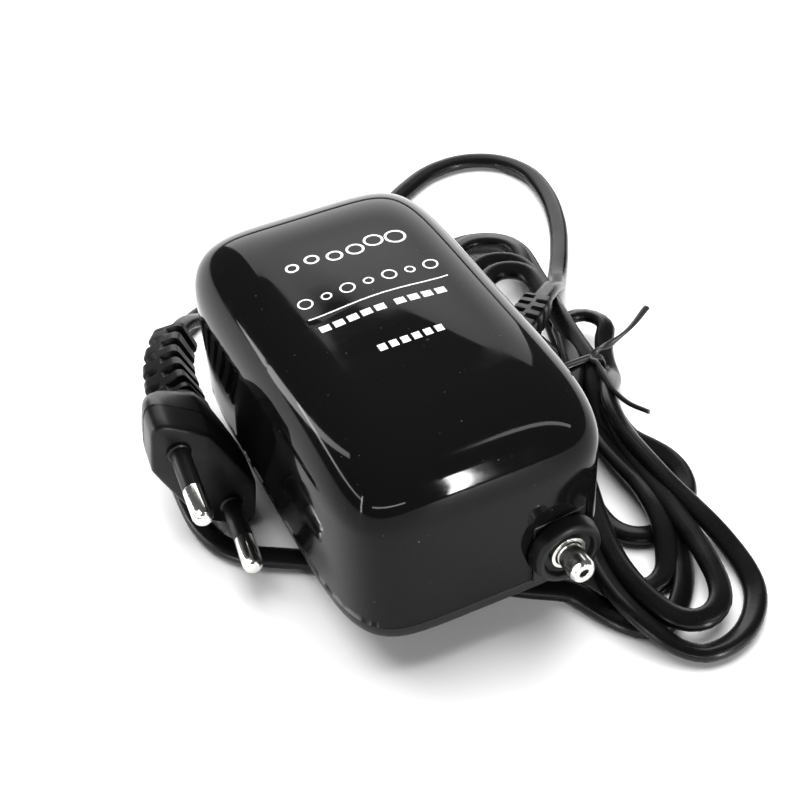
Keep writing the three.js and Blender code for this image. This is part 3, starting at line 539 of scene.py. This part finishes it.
# ---------------------------------------------------------------- base tray
base_angles = plan_angles(200)
rings = []
for z, inset in ((11.0, 9.0), (11.0, 3.4), (RIM_Z, 3.3), (RIM_Z, RIM_INSET + 0.25),
                 (RIM_Z - 0.08, RIM_INSET + 0.08), (RIM_Z - 0.3, RIM_INSET), (10.0, RIM_INSET),
                 (9.6, RIM_INSET + 0.08), (9.25, RIM_INSET + 0.32), (9.0, RIM_INSET + 0.75),
                 (BASE_Z, RIM_INSET + 1.3),
                 (BASE_Z, 2.6), (BASE_Z + 0.35, 2.9), (BASE_Z + 0.35, 9.0)):
    rings.append([plan_point(t, inset, inset, inset, z) for t in base_angles])
points, faces = grid(rings)
base = piece("base_skin", points, faces, "base_black", ("base_tray",))


def cutter(name, profile, at):
    obj = turned(name, "z", profile, at, "base_black", sides=40, soft=0.02)
    obj.hide_render = obj.hide_viewport = True
    return obj


def cut_out(target, tool):
    """Takes the tool out of the target, and removes the tool."""
    mod = target.modifiers.new(tool.name, "BOOLEAN")
    mod.operation, mod.object, mod.solver = "DIFFERENCE", tool, "EXACT"
    bpy.context.view_layer.update()
    done = bpy.data.meshes.new_from_object(target.evaluated_get(bpy.context.evaluated_depsgraph_get()))
    target.modifiers.remove(mod)
    target.data = done
    bpy.data.objects.remove(tool)


for x in (-POST_X, POST_X):
    for y in POST_Y:
        cut_out(base, cutter("cut_screw", [(0, 8), (3.7, 8), (3.4, 9.6), (3.4, 10.5), (0, 10.5)], (x, y, 0)))
for x in (-FOOT_X, FOOT_X):
    for y in FOOT_Y:
        cut_out(base, cutter("cut_foot", [(0, 8), (1.9, 8), (1.9, 13), (0, 13)], (x, y, 0)))
box = piece("cut_filter", [(x, y, z) for x in (-20.5, -11.1) for y in (-18.0, -7.5) for z in (8.0, 13.0)],
            BOX_FACES, "base_black")
cut_out(base, box)
sharpen(base, 40)

# the upright plate that fills the notch round the outlet, following the cover's front
rows = []
across = [NOTCH_X0 + 0.3 + (NOTCH_X1 - NOTCH_X0 - 0.6) * i / 24 for i in range(25)]
front_y = [plan_point(front_angle(x), 0, 0, 0, 0)[1] for x in across]
heights = [11.2 + (NOTCH_TOP - 11.5) * i / 16 for i in range(17)]
points = [(x, y + 0.05, z) for z in heights for x, y in zip(across, front_y)]
faces = [(r * 25 + i, r * 25 + i + 1, (r + 1) * 25 + i + 1,
          (r + 1) * 25 + i) for r in range(16) for i in range(24)]
plate = piece("outlet_plate", points, faces, "base_black")
thicken(plate)

# ---------------------------------------------------------------- outlet: bush, washer, nozzle
outlet = (NOZZLE_X, 0, NOZZLE_Z)
turned("bush_rubber", "y", [(2.75, -41.9), (4.7, -41.9), (5.0, -43.2), (5.9, -43.2), (6.5, -42.7),
                            (6.9, -40.2),
                            (4.4, -40.2), (4.4, -37.0), (5.2, -37.0), (4.6, -35.6), (2.75, -35.6),
                            (2.75, -41.9)],
       outlet, "rubber_black", ("outlet_bush",), sides=96, soft=0.3)
turned("washer_bright", "y", [(2.75, -42.65), (3.4, -42.65), (3.4, -42.25), (2.75, -42.25), (2.75, -42.65)],
       outlet, "nickel", ("nozzle_washer",), sides=96, soft=0.12)
turned("nozzle_bright", "y", [(0.85, -27.3), (0.85, -47.9), (1.0, NOZZLE_TIP_Y), (2.0, NOZZLE_TIP_Y),
                              (2.45, -47.3),
                              (2.45, -33.6), (3.6, -33.6), (3.6, -32.4), (2.45, -32.4), (2.45, -27.3),
                              (0.85, -27.3)],
       outlet, "nickel", ("outlet_nozzle",), sides=96, soft=0.14)

# ---------------------------------------------------------------- feet and cover screws
for name, x, y in (("front_left", -1, 0), ("front_right", 1, 0), ("rear_left", -1, 1), ("rear_right", 1, 1)):
    turned(f"rubber_{name}", "z", [(0, 0.25), (2.6, 0.25), (3.0, 0.0), (4.0, 0.0), (4.6, 0.4), (4.8, 1.2),
                                   (4.8, 7.2),
                                   (4.2, 8.6), (1.55, 8.6), (1.55, 11.3), (2.6, 11.3), (1.6, 12.6),
                                   (0, 12.6)],
           (x * FOOT_X, FOOT_Y[y], 0), "rubber_black", (f"foot_{name}",), soft=0.4)
index = 1
for y in POST_Y:
    for x in (-POST_X, POST_X):
        screw = turned(f"case_screw_{index}", "z",
                       [(0, 9.1), (2.6, 9.1), (3.05, 9.6), (3.05, 10.2), (1.35, 10.2),
                                                    (1.35, 21.6), (0, 23.2)],
                       (x, y, 0), "zinc_steel", (f"cover_screw_{index}",), soft=0.2)
        for turn_deg in (20, 110):
            arm = Matrix.Translation((x, y, 9.45)) @ Matrix.Rotation(math.radians(turn_deg + 17 * index), 4,
                                                                     "Z")
            bar = piece(f"cut_cross_{index}_{turn_deg}",
                        [(a * 1.7, b * 0.32, c * 0.5) for a in (-1, 1) for b in (-1, 1) for c in (-1, 1)],
                        BOX_FACES,
                        "zinc_steel", matrix=arm)
            cut_out(screw, bar)
        index += 1

# ---------------------------------------------------------------- strain reliefs: tapering boots with slots
BOOT_ROUNDING, SPINE, SLOT_SIDE, SLOT_FACE = 0.32, 0.2, 0.24, 0.3  # as shares of the half width or height
SLOT_HALF, SLOT_STEEPNESS = 0.24, 12  # half a slot's length, in steps of the slots, and how steep its walls are
SLOTS_FROM, SLOTS_TO = 0.06, 0.96  # the slotted part of the boot's length


def rounded_box_section(half_w, half_t, r, steps=4):
    out = []
    for cx, cy, start in ((1, 1, 0), (-1, 1, 90), (-1, -1, 180), (1, -1, 270)):
        for s in range(steps + 1):
            a = math.radians(start + 90 * s / steps)
            out.append((cx * (half_w - r) + r * math.cos(a), cy * (half_t - r) + r * math.sin(a)))
    return out


def boot_section(half_w, half_t, r):
    """A rounded box with extra points beside the middle of each wide face, where the slots stop."""
    box = rounded_box_section(half_w, half_t, r)
    middle = [(0.45 * half_w, half_t), (0.1 * half_w, half_t), (-0.1 * half_w, half_t),
              (-0.45 * half_w, half_t)]
    return box[:5] + middle + box[5:15] + [(-s, -u) for s, u in middle] + box[15:]


def boot(name, path, slot, replaced, width, height, ribs, up_axis, flange=()):
    """A moulded boot tapering towards the cord; its slots are staggered on either side of a central spine."""
    count = len(path)
    rings = [*flange]
    for k in range(count):
        t = k / (count - 1)
        w = width[0] + (width[1] - width[0]) * t
        h = height[0] + (height[1] - height[0]) * t
        a, b = Vector(path[max(k - 1, 0)]), Vector(path[min(k + 1, count - 1)])
        side = (b - a).cross(up_axis).normalized()
        rise = side.cross(b - a).normalized()
        ring = []
        for s, u in boot_section(w, h, min(w, h) * BOOT_ROUNDING):
            phase = (t * ribs + (0.5 if s > 0 else 0.0)) % 1.0
            cut = max(0.0, min(1.0, (SLOT_HALF - abs(phase - 0.5)) * SLOT_STEEPNESS))
            if abs(s) < SPINE * w or not SLOTS_FROM < t < SLOTS_TO:
                cut = 0.0
            across = side * s * (1 - SLOT_SIDE * cut)
            upwards = rise * u * (1 - SLOT_FACE * cut)
            ring.append(tuple(Vector(path[k]) + across + upwards))
        rings.append(ring)
    points, faces = grid(rings)
    return sharpen(piece(name, points, faces, slot, replaced), 38)


relief_line = catmull([(26.4, 16, 16.1), (31, 16.3, 16.3), (36, 18.3, 16.2), (41.5, 22.4, 15.4),
                       (46.6, 27.2, 14.0)], 0.22)
flange = []
for x, w, h in ((21.7, 5.5, 4.0), (23.9, 5.5, 4.0), (23.95, 4.2, 3.4)):
    flange.append([(x, 16 - s, 16.1 + u) for s, u in boot_section(w, h, 0.9)])
pump_boot = boot("case_boot", relief_line, "rubber_black", ("cord_strain_relief",), (4.2, 3.2), (3.4, 2.7), 7,
                 Vector((0, 0, 1)), flange)

# ---------------------------------------------------------------- plug
row = (PIN_ROW - PIN_DIR * PIN_ROW.dot(PIN_DIR)).normalized()
third = row.cross(PIN_DIR)
plug_place = Matrix(((row.x, PIN_DIR.x, third.x, PLUG_AT.x), (row.y, PIN_DIR.y, third.y, PLUG_AT.y),
                     (row.z, PIN_DIR.z, third.z, PLUG_AT.z), (0, 0, 0, 1)))
CORNERS = [(17.3, -1.3), (17.3, 1.3), (13.4, 3.9), (9.6, 6.3), (8.2, 6.85), (-8.2, 6.85), (-9.6, 6.3),
           (-13.4, 3.9),
           (-17.3, 1.3), (-17.3, -1.3), (-13.4, -3.9), (-9.6, -6.3), (-8.2, -6.85), (8.2, -6.85), (9.6, -6.3),
           (13.4, -3.9)]


def chaikin(loop, rounds=2):
    for _ in range(rounds):
        out = []
        for a, b in zip(loop, loop[1:] + loop[:1]):
            out.append((a[0] * 0.75 + b[0] * 0.25, a[1] * 0.75 + b[1] * 0.25))
            out.append((a[0] * 0.25 + b[0] * 0.75, a[1] * 0.25 + b[1] * 0.75))
        loop = out
    return loop


def plug_ring(y, wide, thick):
    return [(a * wide * PLUG_SIZE, y, c * thick * PLUG_SIZE) for a, c in chaikin(CORNERS)]


def round_ring(y, half_w, half_t, power=3.2):
    out = []
    for a, c in chaikin(CORNERS):
        angle = math.atan2(c * 2.2, a)
        out.append((half_w * math.copysign(abs(math.cos(angle)) ** (2 / power), math.cos(angle)), y,
                    half_t * math.copysign(abs(math.sin(angle)) ** (2 / power), math.sin(angle))))
    return out


def mixed(y, k, wide, thick, half_w, half_t):
    hexa, oval = plug_ring(y, wide, thick), round_ring(y, half_w, half_t)
    return [tuple(Vector(p).lerp(Vector(q), k)) for p, q in zip(hexa, oval)]


rings = [plug_ring(-0.02, 0.5, 0.5), plug_ring(0, 0.955, 0.915), plug_ring(-0.12, 0.975, 0.95),
         plug_ring(-0.4, 0.993, 0.985), plug_ring(-0.9, 1, 1), plug_ring(-3, 1, 1), plug_ring(-6.4, 1, 1),
         plug_ring(-6.6, 0.985, 0.975), plug_ring(-6.85, 0.985, 0.975), plug_ring(-7.0, 1, 0.995),
         plug_ring(-8.6, 0.985, 0.985), plug_ring(-10.2, 0.945, 0.965),
         mixed(-11.8, 0.12, 0.9, 0.95, 15, 6.3),
         mixed(-13.4, 0.25, 0.83, 0.93, 12.6, 6.2), mixed(-15.0, 0.45, 0.72, 0.9, 10.4, 6.0),
         mixed(-16.6, 0.7, 0.6, 0.88, 8.4, 5.7), mixed(-18.2, 0.9, 0.5, 0.85, 6.6, 5.4),
         mixed(-19.4, 1, 0.5, 0.8, 5.6, 5.0), mixed(-20.3, 1, 0.5, 0.8, 5.2, 4.8),
         mixed(-20.45, 1, 0.5, 0.8, 4.2, 4.0)]
points, faces = grid(rings)
plug_body = sharpen(piece("plug_shell", points, faces, "plug_black", ("plug_body",), matrix=plug_place), 40)
neck_line = catmull([tuple(PLUG_AT - PIN_DIR * 20.6), (-33.6, 36.0, 17.0), (-32.3, 42.0, 17.1),
                     (-30.2, 47.0, 17.1),
                     tuple(NECK_END)], 0.2)
neck = boot("plug_boot", neck_line, "plug_black", ("plug_strain_relief",), (4.9, 3.8), (4.9, 3.8), 5, row)

for name, side in (("upper", -1), ("lower", 1)):
    at = plug_place @ Matrix.Translation((side * 9.5, 0.3, 0)) @ Matrix.Rotation(side * 0.04, 4, "Z")
    turned(f"sleeve_{name}", "y",
                             [(1.45, -0.3), (2.35, -0.3), (2.35, 0.35), (1.95, 0.6), (1.95, 10.0),
                                                     (1.45, 10.0), (1.45, -0.3)],
                             (0, 0, 0), "plug_black", (f"plug_sleeve_{name}",), sides=48, soft=0.12,
                             matrix=at)
    turned(f"pin_{name}", "y",
                             [(0, 0.1), (1.3, 0.1), (1.3, 10.05), (2.0, 10.05), (2.0, 16.6),
                                                  (1.75, 17.5), (1.1, 18.1), (0, 18.2)],
                             (0, 0, 0), "nickel", (f"plug_pin_{name}",), sides=48, soft=0.3, matrix=at)

# ---------------------------------------------------------------- twist tie
ribbon = [(0.95, 0.12), (0.55, 0.3), (0, 0.38), (-0.55, 0.3), (-0.95, 0.12), (-0.95, -0.12), (-0.55, -0.3),
          (0, -0.38),
          (0.55, -0.3), (0.95, -0.12)]


def band(y0, y1, lift):
    """One flat wrap round the bundle, as a path in the XZ plane that creeps along Y."""
    out = []
    for i in range(49):
        a = 2 * math.pi * i / 48
        c, s = math.cos(a), math.sin(a)
        x = 47.9 + (5.9 + lift) * math.copysign(abs(c) ** 0.55, c)
        z = 4.85 + (4.35 + lift) * math.copysign(abs(s) ** 0.55, s)
        out.append((x, y0 + (y1 - y0) * i / 48, max(z, 0.42)))
    return out


wrap = band(10.9, 11.6, 0.0) + band(11.6, 12.3, 0.12)[1:]
rings = []
for k, p in enumerate(wrap):
    a, b = Vector(wrap[max(k - 1, 0)]), Vector(wrap[min(k + 1, len(wrap) - 1)])
    t = (b - a).normalized()
    u = (Vector((0, 1, 0)) - t * t.y).normalized()
    v = u.cross(t)
    rings.append([tuple(Vector(p) + u * s * 0.6 + v * w) for s, w in ribbon])
points, faces = grid(rings)
tie_wrap = piece("tie_wrap", points, faces, "tie_black", ("twist_tie",))
for k, tail in enumerate(([(50.4, 11.4, 8.8), (52.6, 12.1, 9.7), (56.2, 12.6, 9.9), (61.6, 13.6, 11.4),
                           (67.1, 15.7, 13.6)],
                          [(50.4, 11.6, 8.8), (50.4, 9.6, 9.8), (50.0, 5.6, 9.9), (48.9, 0.0, 9.8),
                           (49.6, -5.2, 9.6),
                           (51.7, -9.6, 9.7)])):
    path = catmull(tail, 0.5)
    twist = [math.pi * 2.6 * math.exp(-i / 9.0) + k for i in range(len(path))]
    points, faces = grid(sweep(path, [(s * 0.8, w * 1.3) for s, w in ribbon], twist))
    piece(f"tie_end_{k + 1}", points, faces, "tie_black")

# ---------------------------------------------------------------- printed marks on the top
ink, _, _ = node_tree("silver_ink", (0.72, 0.72, 0.72), 0.4)


def top_z(x, y):
    """Height of the cover's top at a point near its middle."""
    hx, fy, ry = HALF_W - FILLET_SIDE, HALF_L - FILLET_FRONT, HALF_L - FILLET_BACK
    reach = ry if y > CASE_Y else fy
    s = max(abs(x) / hx, abs(y - CASE_Y) / reach)
    n = (abs(x / hx) ** POWER + abs((y - CASE_Y) / reach) ** POWER) ** (1 / POWER)
    rise = CROWN * max(0.0, 1 - min(1, n) ** 2) ** 2 if s <= 1 else 0.0
    return SHOULDER_Z + FILLET_H + rise


def decals(name, outlines):
    """Flat shapes laid on the crown of the top, each a strip of quads between an inner and an outer outline."""
    points, faces = [], []
    for inner, outer in outlines:
        first, n = len(points), len(inner)
        points += [(x, y, top_z(x, y) + 0.04) for x, y in inner + outer]
        faces += [(first + i, first + (i + 1) % n, first + n + (i + 1) % n, first + n + i) for i in range(n)]
    obj = piece(name, points, faces, "cover_black")
    obj.data.materials.clear()
    obj.data.materials.append(ink)


MARK_AT = Vector((0.1, 3.9))  # the middle of the printed rule


def on_mark(u, v):
    return MARK_AT.x + u, MARK_AT.y + v


def ring_mark(u, v, r, line):
    turns = [2 * math.pi * i / 28 for i in range(28)]
    return tuple([on_mark(u + q * math.cos(a), v + q * math.sin(a)) for a in turns] for q in (r - line, r))


def bar_mark(u0, u1, v, line):
    steps = max(2, round((u1 - u0) / 1.5))
    us = [u0 + (u1 - u0) * i / steps for i in range(steps + 1)]
    inner = [on_mark(u, v) for u in us] + [on_mark(u, v) for u in reversed(us)]
    outer = [on_mark(u, v + line / 2) for u in us] + [on_mark(u, v - line / 2) for u in reversed(us)]
    return inner, outer


bubbles = [ring_mark(-10.6 + 4.24 * i, 15.8 + 0.7 * math.sin(i * 1.9), 1.35 + 0.16 * i,
                     0.5) for i in range(6)]
small = [ring_mark(-12.6 + 4.2 * i, 4.6, 1.5 - 0.45 * (i % 2), 0.36) for i in range(7)]
bars = [bar_mark(-13.9, 13.9, 0.0, 0.34)]
for i in range(9):
    left = -13.2 + 2.7 * i + (1.2 if i > 4 else 0)  # with a gap after the fifth bar
    bars.append(bar_mark(left, left + 2.0, -3.6, 1.7))
bars += [bar_mark(-6.4 + 2.2 * i, -4.9 + 2.2 * i, -13.6, 1.7) for i in range(6)]
decals("printed_marks", bubbles + small + bars)

# ---------------------------------------------------------------- floor, light
floor_mat, _, _ = node_tree("pale_floor", (0.93, 0.93, 0.93), 0.55)
bpy.ops.mesh.primitive_plane_add(size=6, location=(0, 0, 0))
floor = bpy.context.object
floor.name = "floor"
floor.data.materials.append(floor_mat)

world = bpy.data.worlds.new("studio")
bpy.context.scene.world = world
world.use_nodes = True
world.node_tree.nodes["Background"].inputs["Color"].default_value = (1, 1, 1, 1)
world.node_tree.nodes["Background"].inputs["Strength"].default_value = 0.1


def direction(azimuth, elevation):
    """A direction from the pump; azimuth 0 is in front of the nozzle, and it turns towards +X."""
    az, el = math.radians(azimuth), math.radians(elevation)
    return Vector((math.sin(az) * math.cos(el), -math.cos(az) * math.cos(el), math.sin(el)))


def light(name, start, end, distance, width, power, soft=True, gloss=True):
    """A rectangular light facing the pump, as long as the arc between two directions."""
    a, b = Vector(start).normalized() * distance, Vector(end).normalized() * distance
    middle, along = (a + b) / 2, (b - a).normalized()
    data = bpy.data.lights.new(name, "AREA")
    data.shape, data.size, data.size_y, data.energy = "RECTANGLE", width, (b - a).length, power
    face = middle.normalized()
    across = along.cross(face).normalized()
    obj = bpy.data.objects.new(name, data)
    turned_to = Matrix((across, along, across.cross(along))).transposed().to_4x4()
    if turned_to.to_3x3().col[2].dot(face) < 0:
        turned_to = Matrix((-across, along, (-across).cross(along))).transposed().to_4x4()
    obj.matrix_world = Matrix.Translation(middle + Vector((0, 0, 0.03))) @ turned_to
    obj.visible_diffuse, obj.visible_glossy = soft, gloss
    bpy.context.scene.collection.objects.link(obj)
    return obj


# the overhead bank, high behind the pump, lights the floor and throws the shadow; the others are mainly the
# strips and panels that the polished cover mirrors, and the metal fill reaches only the plated parts
light("overhead", direction(170, 35), direction(170, 100), 1.5, 1.9, 50, gloss=False)
light("window", (0.288, -0.957, 0.03), (0.288, -0.86, 0.42), 1.2, 0.03, 10)
light("low_front", direction(-50, 14), direction(0, 14), 1.6, 0.05, 5, soft=False)
light("low_left", direction(-135, 9), direction(-70, 16), 1.6, 0.06, 5.5, soft=False)
light("slant_right", direction(30, 49), direction(53, 20), 1.4, 0.09, 3, soft=False)
light("slant_left", direction(-138, 0), direction(-113, 38), 1.4, 0.1, 4, soft=False)
light("post_left", direction(-71, -2), direction(-72, 21), 1.4, 0.05, 3.6, soft=False)
light("back_glow", direction(157, 3), direction(157, 41), 1.5, 1.4, 14, soft=False)
metal_fill = light("metal_fill", direction(-75, 15), direction(-75, 75), 1.2, 1.0, 16, soft=False)
bright = bpy.data.collections.new("bright_metal")
for obj in bpy.context.scene.objects:
    if obj.type == "MESH" and obj.data.materials and obj.data.materials[0].name == "bright_nickel":
        bright.objects.link(obj)
metal_fill.light_linking.receiver_collection = bright
bpy.context.scene.view_settings.view_transform = "Standard"
